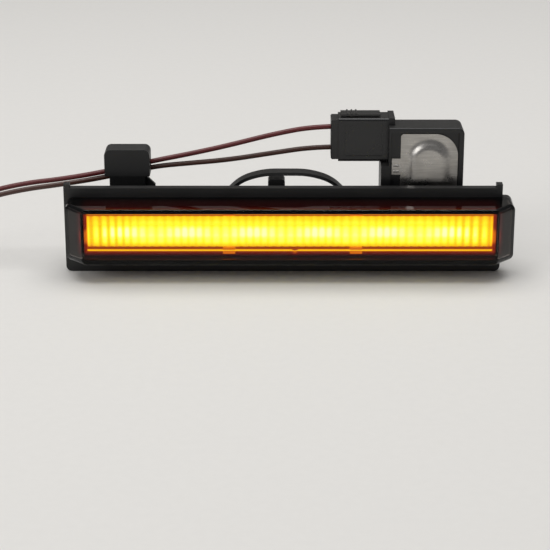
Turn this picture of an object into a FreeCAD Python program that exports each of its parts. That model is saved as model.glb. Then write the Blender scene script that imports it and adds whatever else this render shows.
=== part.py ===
import FreeCAD
import Part
import math
import os

V = FreeCAD.Vector

# Millimetres. x runs along the lamp from the middle of the lens, y runs back from the lens face,
# z runs up from the surface that the lamp stands on. Every piece is moved to the bottom centre at the end.

# Lens cover
lens_length = 149.0
flank_run = 5.8
lens_front_height = 19.3
lens_rim_height = 20.0
lens_lower_edge = 6.5
lens_depth = 13.0
flank_depth = 6.3
lens_wall = 1.8
lens_corner_radius = 2.2
lens_edge_radius = 0.9
least_corner_radius = 0.4
tongue_width = 0.8
tongue_inset = 0.5
tongue_depth = 1.0

# Plate behind the lens
plate_thickness = 3.0
plate_left_overhang = 1.0
plate_right_setback = 3.5
plate_height = 29.3
plate_corner_radius = 2.0
corner_tab_width = 2.0
corner_tab_rise = 1.3

# Closed box behind the plate
tray_left_margin = 6.8
tray_right_margin = 4.8
tray_height = 15.2
tray_depth = 17.0
tray_wall = 2.0
tray_back_wall = 3.0
tray_corner_radius = 2.0
tray_edge_radius = 0.8
rib_width = 1.2
rib_proud = 0.8
rib_places = (-58.0, -44.7, -14.0, 1.0, 16.0)

# Gasket
gasket_thickness = 1.6
gasket_margin = 0.8
gasket_play = 0.4
gasket_corner_radius = 1.6

# Lit bar
optic_end_margin = 1.4
optic_height = 10.6
optic_face = 6.5
bar_rise = 0.5
flute_count = 50
flute_bulge = 0.35
groove_depth = 0.3
groove_half_width = 0.3
groove_above_middle = 2.45
rail_gap = 0.75
rail_thickness = 0.35
rail_front = 6.4
rail_end_margin = 0.4
optic_land = 0.3
optic_land_front = 6.9
optic_thickness = 1.5
snap_tab_width = 4.0
snap_tab_reach = 2.2
snap_tab_places = (-20.2, 22.0)
snap_tab_front = 5.2

# Bezel
bezel_front = 5.5
bezel_plate = 1.4
bezel_wall = 0.7
bezel_play = 0.25
lip_bevel = 0.5
window_play = 0.1
window_corner_radius = 0.1
notch_play = 0.15
v_notch_place = 1.7
v_notch_size = 0.8
v_notch_overlap = 0.01

# Light sources, tray and board
led_count = 6
led_end_margin = 12.8
led_row_middle = -1.1
led_width = 3.6
led_height = 3.0
led_thickness = 1.3
led_dome_diameter = 2.4
led_dome_top_diameter = 1.6
led_dome_rise = 0.3
light_tray_depth = 4.1
cup_wall = 1.2
cup_height = 10.2
cup_floor_play = 0.5
stack_side_play = 0.2
board_end_play = 0.3
board_thickness = 1.6
board_corner_radius = 0.8
board_play = 0.1
ledge_width = 1.1
tower_screw_inset = 9.2
screw_head_diameter = 4.6
screw_head_height = 1.4
screw_head_chamfer = 0.45
screw_head_play = 0.4
screw_diameter = 2.1
screw_length = 9.0
screw_hole_spare = 1.0
screw_play = 0.1
screw_cross_width = 0.5
screw_cross_length = 2.6
screw_cross_depth = 0.6
boss_diameter = 5.6
resistor_size = (3.2, 0.65, 1.6)
resistor_rise = 2.4
resistor_cap = 0.5
resistor_cap_proud = 0.05
diode_offset = 2.6
diode_size = (4.4, 2.1, 2.6)
diode_lead = 0.5
diode_lead_height = 1.2

# Spring tower on top of the box
tower_setback = 16.1
tower_width = 25.1
tower_front = 20.0
tower_top = 48.0
tower_wall = 2.0
tower_roof = 1.1
tower_round = 2.2
tower_edge_radius = 0.5
tower_back_trim = 0.2
tower_front_wall = 2.5
leaf_pocket = 0.9
leaf_pocket_top = 46.3
leaf_pocket_side = 0.6
leaf_pocket_border = 1.7
step_reach = 2.6
step_top = 34.8

# Spring leaf
leaf_thickness = 0.5
leaf_inset = 3.9
leaf_border_play = 0.3
leaf_top = 45.9
leaf_bottom = 26.5
leaf_big_radius = 7.7
leaf_small_radius = 1.0
bulge_border = 1.4
bulge_run = 4.2
bulge_rise = 1.4
bulge_low = 29.6
foot_border = 2.0
side_tab_inset = 1.0
side_tab_low = 31.8
side_tab_high = 37.4
side_rib_places = (33.0, 35.0)
side_rib_length = 1.8
side_rib_radius = 0.4

# Connector header and plug
wire_upper_z = 46.3
wire_lower_z = 39.1
connector_middle_y = 29.0
pad_height = 15.4
pad_depth = 10.2
pad_thickness = 2.0
header_height = 12.6
header_depth = 6.6
header_wall = 1.0
header_reach = 8.9
plug_height = 15.0
plug_depth = 9.6
plug_length = 16.9
plug_round = 0.9
plug_cap_length = 2.5
plug_cap_inset = 0.7
plug_play = 0.2
plug_mouth = 9.3
plug_panel_inset = 2.0
plug_panel_depth = 0.3
latch_left_inset = 0.8
latch_right_inset = 2.8
latch_width = 5.6
latch_thickness = 0.6
latch_gap = 0.35
latch_root = 2.2
latch_grip_start = 2.2
latch_grip_pitch = 1.5
latch_grip_count = 3
blade_width = 2.2
blade_thickness = 0.8
blade_bend_radius = 0.7
blade_tip_chamfer = 0.3
blade_tip_gap = 0.8
blade_upper_drop = 14.7
blade_lower_drop = 5.7
blade_pin_z = 18.3
blade_pin_height = 1.4
blade_pin_past_board = 0.5
terminal_width = 2.9
terminal_height = 1.7
terminal_length = 7.4
terminal_end_gap = 1.3
terminal_play = 0.05
crimp_diameter = 2.0
crimp_gap = 0.3
seal_diameter = 4.0
seal_length = 3.3
wire_bore_play = 0.1

# Cable clip and its post
post_inset = 14.5
post_width = 12.0
post_front = 24.0
post_thickness = 3.0
post_top = 30.2
peg_width = 6.0
peg_depth = 1.8
peg_rise = 3.6
clip_left_overhang = 1.6
clip_right_overhang = 1.7
clip_top = 39.4
clip_front = 23.6
clip_back = 31.5
clip_low = 25.4
clip_round = 2.0
clip_slot_width = 2.1
clip_slot_height = 4.1
clip_slot_overrun = 5.0
gusset_reach = 3.4
gusset_thickness = 1.6

# Snap bow and its stop
bow_points = ((-23.5, 22.6), (-16.6, 29.6), (-8.6, 32.0), (6.2, 32.0), (14.2, 29.6), (21.1, 22.6))
bow_thickness = 1.1
bow_front = 20.2
bow_width = 5.0
stop_left = -7.3
stop_right = -1.6
stop_top = 30.2

# Bottom lugs
lug_left_inset = 30.5
lug_right_inset = 28.0
lug_width = 10.0
lug_front = 20.0
lug_lead_in = 1.5

# Vent
vent_place = -30.0
vent_diameter = 8.0
vent_rise = 0.9
vent_stem_diameter = 3.6
vent_hole_diameter = 3.8
vent_stem_length = 2.6
vent_round = 0.4

# Wires
wire_diameter = 1.7
strand_diameter = 0.9
strand_length = 8.0
wire_start_inset = 3.6
wire_straight = 5.4
# Each wire's way from plug to bare end: along from the middle of the clip, then depth and height.
upper_way = (
    (48.95, 29.1, 43.4), (33.95, 29.3, 39.4), (20.95, 29.3, 36.5), (8.45, 29.2, 34.05), (-8.45, 29.2, 30.1),
    (-22.55, 29.3, 27.6), (-35.05, 29.4, 26.1), (-47.05, 29.4, 23.4), (-59.05, 29.3, 18.9), (-71.05, 29.1, 12.7),
    (-83.05, 28.9, 6.6), (-92.55, 28.8, 2.7), (-101.05, 28.7, 0.95), (-108.05, 28.7, 0.95),
)
lower_way = (
    (48.95, 28.9, 36.9), (33.95, 28.9, 34.5), (20.95, 29.1, 33.3), (8.45, 29.2, 32.1), (-8.45, 29.2, 28.15),
    (-22.55, 27.6, 26.2), (-35.05, 27.0, 24.7), (-47.05, 26.6, 22.1), (-59.05, 26.2, 17.6), (-71.05, 25.8, 11.5),
    (-83.05, 25.4, 6.0), (-92.55, 25.0, 2.5), (-101.05, 24.8, 0.95), (-108.05, 24.7, 0.95),
)
path_share = 0.45

# Derived places
lens_front_length = lens_length - 2 * flank_run
plate_left = lens_length / 2 + plate_left_overhang
plate_right = lens_length / 2 - plate_right_setback
tray_left = plate_left - tray_left_margin
tray_right = plate_right - tray_right_margin
optic_length = lens_front_length - 2 * optic_end_margin
tower_right = lens_length / 2 - tower_setback
tower_left = tower_right - tower_width
leaf_pocket_left = tower_left + leaf_pocket_side
leaf_pocket_right = tower_right - leaf_pocket_border
leaf_left = tower_left + leaf_inset
leaf_right = leaf_pocket_right - leaf_border_play
bulge_middle = (leaf_left + leaf_right) / 2
bulge_outer = (leaf_right - leaf_left) / 2 - bulge_border
bulge_inner = bulge_outer - bulge_run
bulge_arch_z = leaf_top - bulge_border - bulge_outer
side_tab_left = tower_left + side_tab_inset
step_left = tower_left - step_reach
led_pitch = (optic_length - 2 * led_end_margin) / (led_count - 1)
cup_width = led_pitch - cup_wall
led_places = [led_row_middle + led_pitch * (i - (led_count - 1) / 2) for i in range(led_count)]
screw_places = (
    (led_places[0] + led_places[1]) / 2, (led_places[2] + led_places[3]) / 2, tower_left + tower_screw_inset,
)
resistor_places = led_places[1:-1]
diode_place = led_places[-1] + diode_offset
blade_upper_drop_x = tower_left + blade_upper_drop
blade_lower_drop_x = tower_left + blade_lower_drop
lens_middle_z = lens_lower_edge + lens_front_height / 2
bar_middle_z = lens_middle_z + bar_rise
plate_front = lens_depth
plate_back = plate_front + plate_thickness
tray_low = lens_middle_z - tray_height / 2
tray_high = lens_middle_z + tray_height / 2
tray_back = plate_back + tray_depth
optic_land_back = optic_land_front + optic_thickness
board_front = optic_land_back + light_tray_depth
board_back = board_front + board_thickness
window_half_height = optic_height / 2 + rail_gap + rail_thickness + window_play
window_half_length = optic_length / 2 + window_play
stack_half_height = window_half_height + optic_land
stack_half_length = window_half_length + optic_land
board_half_length = stack_half_length - board_end_play
post_left = -plate_left + post_inset
post_right = post_left + post_width
clip_left = post_left - clip_left_overhang
clip_right = post_right + clip_right_overhang
clip_middle = (clip_left + clip_right) / 2
lug_places = (-plate_left + lug_left_inset, plate_right - lug_right_inset)
connector_middle_z = (wire_upper_z + wire_lower_z) / 2
plug_left = tower_left - plug_length
cap_left = plug_left - plug_cap_length
terminal_end = tower_left - terminal_end_gap
terminal_start = terminal_end - terminal_length
blade_tip = terminal_start + blade_tip_gap
crimp_start = plug_left + seal_length + crimp_gap
latch_left = plug_left + latch_left_inset
latch_right = tower_left - latch_right_inset
wire_start = plug_left + wire_start_inset
wire_out = cap_left - wire_straight
upper_points = [(wire_start, connector_middle_y, wire_upper_z), (wire_out, connector_middle_y, wire_upper_z)]
upper_points += [(clip_middle + along, y, z) for along, y, z in upper_way]
lower_points = [(wire_start, connector_middle_y, wire_lower_z), (wire_out, connector_middle_y, wire_lower_z)]
lower_points += [(clip_middle + along, y, z) for along, y, z in lower_way]
leaf_back = tower_front + leaf_pocket
leaf_front = leaf_back - leaf_thickness
overall_depth = connector_middle_y + pad_depth / 2
origin_shift = V((plate_left - lens_length / 2) / 2, -overall_depth / 2, 0)


def box(x0, x1, y0, y1, z0, z1):
    return Part.makeBox(x1 - x0, y1 - y0, z1 - z0, V(x0, y0, z0))


def outline(x0, x1, z0, z1, radius, y):
    """Closed wire of a rectangle with rounded corners that stands at depth y."""
    k = radius * (1 - math.sqrt(0.5))
    spots = [
        (x0 + radius, z0), (x1 - radius, z0), (x1 - k, z0 + k), (x1, z0 + radius),
        (x1, z1 - radius), (x1 - k, z1 - k), (x1 - radius, z1),
        (x0 + radius, z1), (x0 + k, z1 - k), (x0, z1 - radius),
        (x0, z0 + radius), (x0 + k, z0 + k),
    ]
    p = [V(x, y, z) for x, z in spots]
    edges = [
        Part.LineSegment(p[0], p[1]), Part.Arc(p[1], p[2], p[3]),
        Part.LineSegment(p[3], p[4]), Part.Arc(p[4], p[5], p[6]),
        Part.LineSegment(p[6], p[7]), Part.Arc(p[7], p[8], p[9]),
        Part.LineSegment(p[9], p[10]), Part.Arc(p[10], p[11], p[0]),
    ]
    return Part.Wire([e.toShape() for e in edges])


def slab(x0, x1, y0, y1, z0, z1, radius):
    """Block with rounded corners in the front view."""
    return Part.Face(outline(x0, x1, z0, z1, radius, y0)).extrude(V(0, y1 - y0, 0))


def rod(x, z, y0, y1, diameter):
    return Part.makeCylinder(diameter / 2, y1 - y0, V(x, y0, z), V(0, 1, 0))


def prism(points, direction):
    """Solid swept from a closed outline of points along a straight direction."""
    wire = Part.makePolygon(list(points) + [points[0]])
    return Part.Face(wire).extrude(direction)


def fuse(first, *others):
    return first.multiFuse(list(others)).removeSplitter()


def edges_on(shape, test):
    """Edges whose every corner and middle passes the test."""
    found = []
    for edge in shape.Edges:
        middle = edge.valueAt((edge.FirstParameter + edge.LastParameter) / 2)
        if all(test(p) for p in [v.Point for v in edge.Vertexes] + [middle]):
            found.append(edge)
    return found


def near(a, b):
    return abs(a - b) < 1e-4


def rounded_path(points, name=None):
    """Straight runs joined by tangent arcs, each arc as wide as the shorter run beside it allows."""
    p = [V(*q) for q in points]
    edges = []
    start = p[0]
    radii = []
    for before, corner, after in zip(p, p[1:], p[2:]):
        back = before - corner
        ahead = after - corner
        cut = path_share * min(back.Length, ahead.Length)
        back.normalize()
        ahead.normalize()
        half_turn = (math.pi - back.getAngle(ahead)) / 2
        radius = cut / math.tan(half_turn)
        radii.append(radius)
        bisector = back + ahead
        bisector.normalize()
        centre = corner + bisector * (radius / math.cos(half_turn))
        first = corner + back * cut
        last = corner + ahead * cut
        edges.append(Part.LineSegment(start, first).toShape())
        edges.append(Part.Arc(first, centre - bisector * radius, last).toShape())
        start = last
    edges.append(Part.LineSegment(start, p[-1]).toShape())
    wire = Part.Wire(edges)
    if name:
        print(name, "length", round(wire.Length, 1), "least bend radius", round(min(radii), 1))
    return wire


def tube(points, diameter, name):
    """Round cord swept along a rounded path."""
    path = rounded_path(points, name)
    start = V(*points[0])
    ring = Part.Wire(Part.makeCircle(diameter / 2, start, V(*points[1]) - start))
    return path.makePipeShell([ring], True, False)


def lens_block(inset):
    """The lens form, moved inwards by an even inset on every side."""
    run = V(lens_length / 2 - lens_front_length / 2, flank_depth, 0)
    shift = inset * run.Length / run.y
    foot = lens_front_length / 2 - shift
    front_half = foot + inset * run.x / run.y
    side_half = lens_length / 2 - inset
    shoulder = (side_half - foot) * run.y / run.x
    radius = max(lens_corner_radius - inset, least_corner_radius)
    wires = []
    for y, half in ((inset, front_half), (shoulder, side_half), (lens_depth, side_half)):
        grow = (lens_rim_height - lens_front_height) / 2 * y / lens_depth
        half_height = lens_front_height / 2 + grow - inset
        wires.append(outline(-half, half, lens_middle_z - half_height, lens_middle_z + half_height, radius, y))
    return Part.makeLoft(wires, True, True)


def rim_ring(inset, width, y0, y1, play):
    """Ring that follows the lens rim, used for the tongue and for its groove."""
    half = lens_length / 2 - inset + play
    tall = lens_rim_height / 2 - inset + play
    radius = lens_corner_radius - inset + play
    inner = width + 2 * play
    outside = slab(-half, half, y0, y1, lens_middle_z - tall, lens_middle_z + tall, radius)
    inside = slab(
        -half + inner, half - inner, y0, y1,
        lens_middle_z - tall + inner, lens_middle_z + tall - inner, radius - inner / 2,
    )
    return outside.cut(inside)


def make_lens():
    outer = lens_block(0)
    front = edges_on(outer, lambda p: near(p.y, 0))
    outer = outer.makeFillet(lens_edge_radius, front)
    shell = outer.cut(lens_block(lens_wall))
    return fuse(shell, rim_ring(tongue_inset, tongue_width, lens_depth, lens_depth + tongue_depth, 0))


def make_bezel():
    inset = lens_wall + bezel_play
    form = lens_block(inset).common(
        box(-lens_length, lens_length, bezel_front, plate_front, 0, plate_height)
    )
    hollow = lens_block(inset + bezel_wall).common(
        box(-lens_length, lens_length, bezel_front + bezel_plate, plate_front, 0, plate_height)
    )
    half = window_half_length
    tall = window_half_height
    window = slab(
        -half, half, bezel_front, bezel_front + bezel_plate,
        lens_middle_z - tall, lens_middle_z + tall, window_corner_radius,
    )
    mouth = Part.makeLoft(
        [
            outline(
                -half - e, half + e, lens_middle_z - tall - e, lens_middle_z + tall + e, window_corner_radius + e,
                bezel_front + lip_bevel - e,
            )
            for e in (0, lip_bevel)
        ],
        True, True,
    )
    cuts = [hollow, window, mouth]
    low = bar_middle_z - optic_height / 2
    for x in snap_tab_places:
        w = snap_tab_width / 2 + notch_play
        cuts.append(
            box(x - w, x + w, bezel_front, bezel_front + bezel_plate, low - snap_tab_reach - notch_play, low)
        )
    v_low = lens_middle_z - window_half_height - lip_bevel
    cuts.append(
        prism(
            [
                V(v_notch_place - v_notch_size, bezel_front, v_low + v_notch_overlap),
                V(v_notch_place + v_notch_size, bezel_front, v_low + v_notch_overlap),
                V(v_notch_place, bezel_front, v_low - v_notch_size),
            ],
            V(0, bezel_plate / 2, 0),
        )
    )
    return form.cut(cuts)


def make_optic():
    pitch = optic_length / flute_count
    left = -optic_length / 2
    low = bar_middle_z - optic_height / 2
    edges = []
    for i in range(flute_count):
        a = V(left + i * pitch, optic_face, low)
        b = V(left + (i + 1) * pitch, optic_face, low)
        crest = V((a.x + b.x) / 2, optic_face - flute_bulge, low)
        edges.append(Part.Arc(a, crest, b).toShape())
    corners = [
        V(left, optic_face, low), V(left, optic_land_back, low),
        V(-left, optic_land_back, low), V(-left, optic_face, low),
    ]
    for a, b in zip(corners, corners[1:]):
        edges.append(Part.LineSegment(a, b).toShape())
    bar = Part.Face(Part.Wire(Part.__sortEdges__(edges))).extrude(V(0, 0, optic_height))
    grooves = []
    for side in (-1, 1):
        z = bar_middle_z + side * groove_above_middle
        y0 = optic_face - flute_bulge
        y1 = y0 + groove_depth
        grooves.append(
            prism(
                [V(left, y0, z - groove_half_width), V(left, y0, z + groove_half_width), V(left, y1, z)],
                V(optic_length, 0, 0),
            )
        )
    land = box(
        -stack_half_length, stack_half_length, optic_land_front, optic_land_back,
        lens_middle_z - stack_half_height, lens_middle_z + stack_half_height,
    )
    tabs = [
        box(
            x - snap_tab_width / 2, x + snap_tab_width / 2, snap_tab_front, optic_land_front,
            low - snap_tab_reach, low,
        )
        for x in snap_tab_places
    ]
    rail_half = optic_length / 2 - rail_end_margin
    rails = []
    inside = optic_height / 2 + rail_gap
    for z in (lens_middle_z - inside - rail_thickness, lens_middle_z + inside):
        rails.append(box(-rail_half, rail_half, rail_front, optic_land_front, z, z + rail_thickness))
    return fuse(bar.cut(grooves), land, *rails, *tabs)


def make_light_tray():
    body = box(
        -stack_half_length, stack_half_length, optic_land_back, board_front,
        lens_middle_z - stack_half_height, lens_middle_z + stack_half_height,
    )
    cuts = []
    for x in led_places:
        rings = []
        for half, tall, y in (
            (led_width / 2 + cup_floor_play, led_height / 2 + cup_floor_play, board_front),
            (cup_width / 2, cup_height / 2, optic_land_back),
        ):
            corners = [V(x + a * half, y, lens_middle_z + b * tall) for a, b in ((-1, -1), (1, -1), (1, 1), (-1, 1))]
            rings.append(Part.makePolygon(corners + [corners[0]]))
        cuts.append(Part.makeLoft(rings, True, True))
    for x in screw_places:
        cuts.append(
            rod(x, lens_middle_z, board_front - screw_head_height - screw_play, board_front,
                screw_head_diameter + screw_head_play)
        )
    for x in (blade_upper_drop_x, blade_lower_drop_x):
        w = blade_thickness / 2 + stack_side_play
        h = blade_pin_height / 2 + stack_side_play
        cuts.append(
            box(x - w, x + w, board_front - blade_pin_past_board - stack_side_play, board_front,
                blade_pin_z - h, blade_pin_z + h)
        )
    return body.cut(cuts)


def make_board():
    half_height = stack_half_height - board_play
    board = slab(
        -board_half_length, board_half_length, board_front, board_back,
        lens_middle_z - half_height, lens_middle_z + half_height, board_corner_radius,
    )
    holes = [rod(x, lens_middle_z, board_front, board_back, screw_diameter + 2 * screw_play) for x in screw_places]
    for x in (blade_upper_drop_x, blade_lower_drop_x):
        holes.append(
            box(x - blade_thickness / 2, x + blade_thickness / 2, board_front, board_back,
                blade_pin_z - blade_pin_height / 2, blade_pin_z + blade_pin_height / 2)
        )
    return board.cut(holes)


def make_leds():
    pieces = []
    for x in led_places:
        body = box(
            x - led_width / 2, x + led_width / 2, board_front - led_thickness, board_front,
            lens_middle_z - led_height / 2, lens_middle_z + led_height / 2,
        )
        dome = Part.makeCone(
            led_dome_diameter / 2, led_dome_top_diameter / 2, led_dome_rise,
            V(x, board_front - led_thickness, lens_middle_z), V(0, -1, 0),
        )
        pieces.append(fuse(body, dome))
    return Part.makeCompound(pieces)


def make_resistors():
    pieces = []
    w, t, h = resistor_size
    z = lens_middle_z + resistor_rise
    for x in resistor_places:
        middle = box(x - w / 2, x + w / 2, board_back, board_back + t, z - h / 2, z + h / 2)
        ends = [
            box(a, a + resistor_cap, board_back, board_back + t + resistor_cap_proud, z - h / 2, z + h / 2)
            for a in (x - w / 2, x + w / 2 - resistor_cap)
        ]
        pieces.append(fuse(middle, *ends))
    return Part.makeCompound(pieces)


def make_diode():
    w, t, h = diode_size
    x = diode_place
    z = lens_middle_z
    body = box(x - w / 2, x + w / 2, board_back, board_back + t, z - h / 2, z + h / 2)
    leads = box(
        x - w / 2 - diode_lead, x + w / 2 + diode_lead, board_back, board_back + t / 2,
        z - diode_lead_height / 2, z + diode_lead_height / 2,
    )
    return fuse(body, leads)


def make_screws():
    pieces = []
    for x in screw_places:
        head = rod(x, lens_middle_z, board_front - screw_head_height, board_front, screw_head_diameter)
        rim = edges_on(head, lambda p: near(p.y, board_front - screw_head_height))
        head = head.makeChamfer(screw_head_chamfer, rim)
        shank = rod(x, lens_middle_z, board_front, board_front + screw_length, screw_diameter)
        y0 = board_front - screw_head_height
        a = screw_cross_length / 2
        b = screw_cross_width / 2
        cross = [
            box(x - a, x + a, y0, y0 + screw_cross_depth, lens_middle_z - b, lens_middle_z + b),
            box(x - b, x + b, y0, y0 + screw_cross_depth, lens_middle_z - a, lens_middle_z + a),
        ]
        pieces.append(fuse(head, shank).cut(cross))
    return Part.makeCompound(pieces)


def make_blades():
    pieces = []
    y0 = connector_middle_y - blade_width / 2
    y1 = connector_middle_y + blade_width / 2
    t = blade_thickness / 2
    pin_low = blade_pin_z - blade_pin_height / 2
    for z, x in ((wire_upper_z, blade_upper_drop_x), (wire_lower_z, blade_lower_drop_x)):
        arm = box(blade_tip, x + t, y0, y1, z - t, z + t)
        drop = box(x - t, x + t, y0, y1, pin_low, z + t)
        pin = box(x - t, x + t, board_front - blade_pin_past_board, y1, pin_low, pin_low + blade_pin_height)
        blade = fuse(arm, drop, pin)
        bend = edges_on(blade, lambda p: near(p.x, x + t) and near(p.z, z + t))
        blade = blade.makeFillet(blade_bend_radius, bend)
        tip = edges_on(blade, lambda p: near(p.x, blade_tip) and not near(p.y, connector_middle_y))
        tip = [e for e in tip if near(e.Vertexes[0].Point.y, e.Vertexes[-1].Point.y)]
        pieces.append(blade.makeChamfer(blade_tip_chamfer, tip))
    return Part.makeCompound(pieces)


def make_gasket():
    m = gasket_margin
    g = gasket_play
    back = plate_back + gasket_thickness
    ring = slab(
        -plate_left + m, plate_right - m, plate_back, back, m, plate_height - m, gasket_corner_radius,
    )
    hole = slab(
        -tray_left - g, tray_right + g, plate_back, back, tray_low - g, tray_high + g, tray_corner_radius + g,
    )
    return ring.cut(hole)


def clip_slope():
    """Middle line of the two wires through the clip, as a point and a direction."""
    a = (V(*upper_points[5]) + V(*lower_points[5])) * 0.5
    b = (V(*upper_points[6]) + V(*lower_points[6])) * 0.5
    return a, b - a


def make_clip():
    head = box(clip_left, clip_right, clip_front, clip_back, post_top, clip_top)
    corners = edges_on(head, lambda p: near(p.z, clip_top) and (near(p.x, clip_left) or near(p.x, clip_right)))
    head = head.makeFillet(clip_round, corners)
    seat_back = post_front + post_thickness
    cheek = box(post_left, post_right, seat_back, clip_back, clip_low, post_top)
    peg = peg_solid()
    start, run = clip_slope()
    along = V(run.x, run.y, run.z)
    along.normalize()
    across = V(-along.z, 0, along.x) if along.x > 0 else V(along.z, 0, -along.x)
    half_gap = (clip_slot_height - clip_slot_width) / 2
    radius = clip_slot_width / 2
    begin = start - along * clip_slot_overrun
    reach = run.Length + 2 * clip_slot_overrun
    slot = [Part.makeCylinder(radius, reach, begin + across * s, along) for s in (-half_gap, half_gap)]
    w = V(0, radius, 0)
    slot.append(
        prism(
            [
                begin + across * half_gap + w, begin + across * half_gap - w,
                begin - across * half_gap - w, begin - across * half_gap + w,
            ],
            along * reach,
        )
    )
    return fuse(head, cheek).cut([peg] + slot)


def peg_solid():
    x = (post_left + post_right) / 2
    y = post_front + post_thickness / 2
    return box(x - peg_width / 2, x + peg_width / 2, y - peg_depth / 2, y + peg_depth / 2,
               post_top, post_top + peg_rise)


def header_solid():
    z = connector_middle_z
    y = connector_middle_y
    left = tower_left - header_reach
    outside = box(left, tower_left, y - header_depth / 2, y + header_depth / 2,
                  z - header_height / 2, z + header_height / 2)
    w = header_wall
    inside = box(left, tower_left, y - header_depth / 2 + w, y + header_depth / 2 - w,
                 z - header_height / 2 + w, z + header_height / 2 - w)
    return outside.cut(inside)


def on_tower_rim(p):
    """True along the tower's top and right side."""
    return near(p.z, tower_top) or p.x > tower_right - tower_round


def make_housing(blades, leaf):
    plate = slab(
        -plate_left, plate_right, plate_front, plate_back, 0, plate_height, plate_corner_radius,
    )
    rim_tall = lens_rim_height / 2
    rim = slab(
        -lens_length / 2, lens_length / 2, plate_front, plate_back,
        lens_middle_z - rim_tall, lens_middle_z + rim_tall, lens_corner_radius,
    )
    tab_low = plate_height - 2 * plate_corner_radius
    tabs = [
        box(a, a + corner_tab_width, plate_front, plate_back, tab_low, plate_height + corner_tab_rise)
        for a in (-plate_left, plate_right - corner_tab_width)
    ]
    tray = slab(-tray_left, tray_right, plate_back, tray_back, tray_low, tray_high, tray_corner_radius)
    tray = tray.makeFillet(tray_edge_radius, edges_on(tray, lambda p: near(p.y, tray_back)))

    tower = box(tower_left, tower_right, tower_front, tray_back, tray_high - tray_wall, tower_top)
    upright = edges_on(tower, lambda p: near(p.x, tower_right) and near(p.z, tower_top))
    tower = tower.makeFillet(tower_round, upright)
    front_rim = edges_on(tower, lambda p: near(p.y, tower_front) and on_tower_rim(p))
    tower = tower.makeFillet(tower_edge_radius, front_rim)
    back_rim = edges_on(tower, lambda p: near(p.y, tray_back) and on_tower_rim(p))
    tower = tower.makeFillet(tower_round - tower_back_trim, back_rim)
    step = box(step_left, tower_left, tower_front, tray_back, tray_high - tray_wall, step_top)
    pad = box(
        tower_left, tower_left + pad_thickness,
        connector_middle_y - pad_depth / 2, connector_middle_y + pad_depth / 2,
        connector_middle_z - pad_height / 2, connector_middle_z + pad_height / 2,
    )
    pocket = box(leaf_pocket_left, leaf_pocket_right, tower_front, leaf_back, leaf_bottom, leaf_pocket_top)
    shaft = box(
        tower_left + tower_wall, tower_right - tower_wall,
        leaf_back + tower_front_wall, tray_back - tray_back_wall,
        tray_low + tray_wall, tower_top - tower_roof,
    )

    post = box(post_left, post_right, post_front, post_front + post_thickness, tray_high - tray_wall, post_top)
    gusset_y = post_front + post_thickness - gusset_thickness
    gusset = prism(
        [
            V(post_right, gusset_y, tray_high - tray_wall),
            V(post_right + gusset_reach, gusset_y, tray_high - tray_wall),
            V(post_right + gusset_reach, gusset_y, post_top - gusset_reach),
            V(post_right, gusset_y, post_top),
        ],
        V(0, gusset_thickness, 0),
    )

    bow_path = rounded_path([(x, bow_front, z) for x, z in bow_points])
    start = V(bow_points[0][0], bow_front, bow_points[0][1])
    run = V(bow_points[1][0], bow_front, bow_points[1][1]) - start
    run.normalize()
    side = V(-run.z, 0, run.x) * (bow_thickness / 2)
    depth = V(0, bow_width, 0)
    section = Part.makePolygon(
        [start + side, start - side, start - side + depth, start + side + depth, start + side]
    )
    bow = bow_path.makePipeShell([section], True, False)
    stop = box(stop_left, stop_right, bow_front, bow_front + bow_width, tray_high - tray_wall, stop_top)
    stop_edges = edges_on(stop, lambda p: near(p.z, stop_top) and (near(p.x, stop_left) or near(p.x, stop_right)))
    stop = stop.makeFillet(bow_thickness, stop_edges)

    lugs = []
    for x in lug_places:
        a = x - lug_width / 2
        lugs.append(
            prism(
                [
                    V(a, lug_front, tray_low + tray_wall), V(a, lug_front, lug_lead_in),
                    V(a, lug_front + lug_lead_in, 0), V(a, tray_back - tray_edge_radius, 0),
                    V(a, tray_back - tray_edge_radius, tray_low + tray_wall),
                ],
                V(lug_width, 0, 0),
            )
        )
    ribs = [
        box(x - rib_width / 2, x + rib_width / 2, tray_back - tray_back_wall, tray_back + rib_proud,
            tray_low + tray_corner_radius, tray_high - tray_corner_radius)
        for x in rib_places
    ]
    body = fuse(plate, rim, tray, tower, step, pad, post, gusset, peg_solid(), bow, stop, header_solid(),
                *tabs, *lugs, *ribs)

    seat_half = stack_half_height
    seat = box(
        -board_half_length - board_play, board_half_length + board_play, plate_front, board_back,
        lens_middle_z - seat_half, lens_middle_z + seat_half,
    )
    hollow = box(
        -tray_left + tray_wall, tray_right - tray_wall, board_back, tray_back - tray_back_wall,
        lens_middle_z - seat_half + ledge_width, lens_middle_z + seat_half - ledge_width,
    )
    bosses = [rod(x, lens_middle_z, board_back, tray_back - tray_back_wall, boss_diameter) for x in screw_places]
    hollow = hollow.cut(bosses)
    screw_holes = [
        rod(x, lens_middle_z, board_back, board_front + screw_length + screw_hole_spare, screw_diameter + screw_play)
        for x in screw_places
    ]
    groove = rim_ring(tongue_inset, tongue_width, plate_front, plate_front + tongue_depth, 0)
    vent_hole = rod(vent_place, lens_middle_z, tray_back - tray_back_wall, tray_back, vent_hole_diameter)
    body = body.cut([seat, hollow, shaft.cut(bosses), pocket, groove, vent_hole] + screw_holes)
    return body.cut([blades, leaf]).removeSplitter()


def bulge_arch(radius, y):
    """Sheet with an arched top and straight legs, as wide as the given radius on each side."""
    x = bulge_middle
    z = bulge_arch_z
    a = V(x - radius, y, bulge_low)
    b = V(x - radius, y, z)
    c = V(x, y, z + radius)
    d = V(x + radius, y, z)
    e = V(x + radius, y, bulge_low)
    parts = [Part.LineSegment(a, b), Part.Arc(b, c, d), Part.LineSegment(d, e), Part.LineSegment(e, a)]
    return Part.Face(Part.Wire([q.toShape() for q in parts])).extrude(V(0, leaf_thickness, 0))


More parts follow.
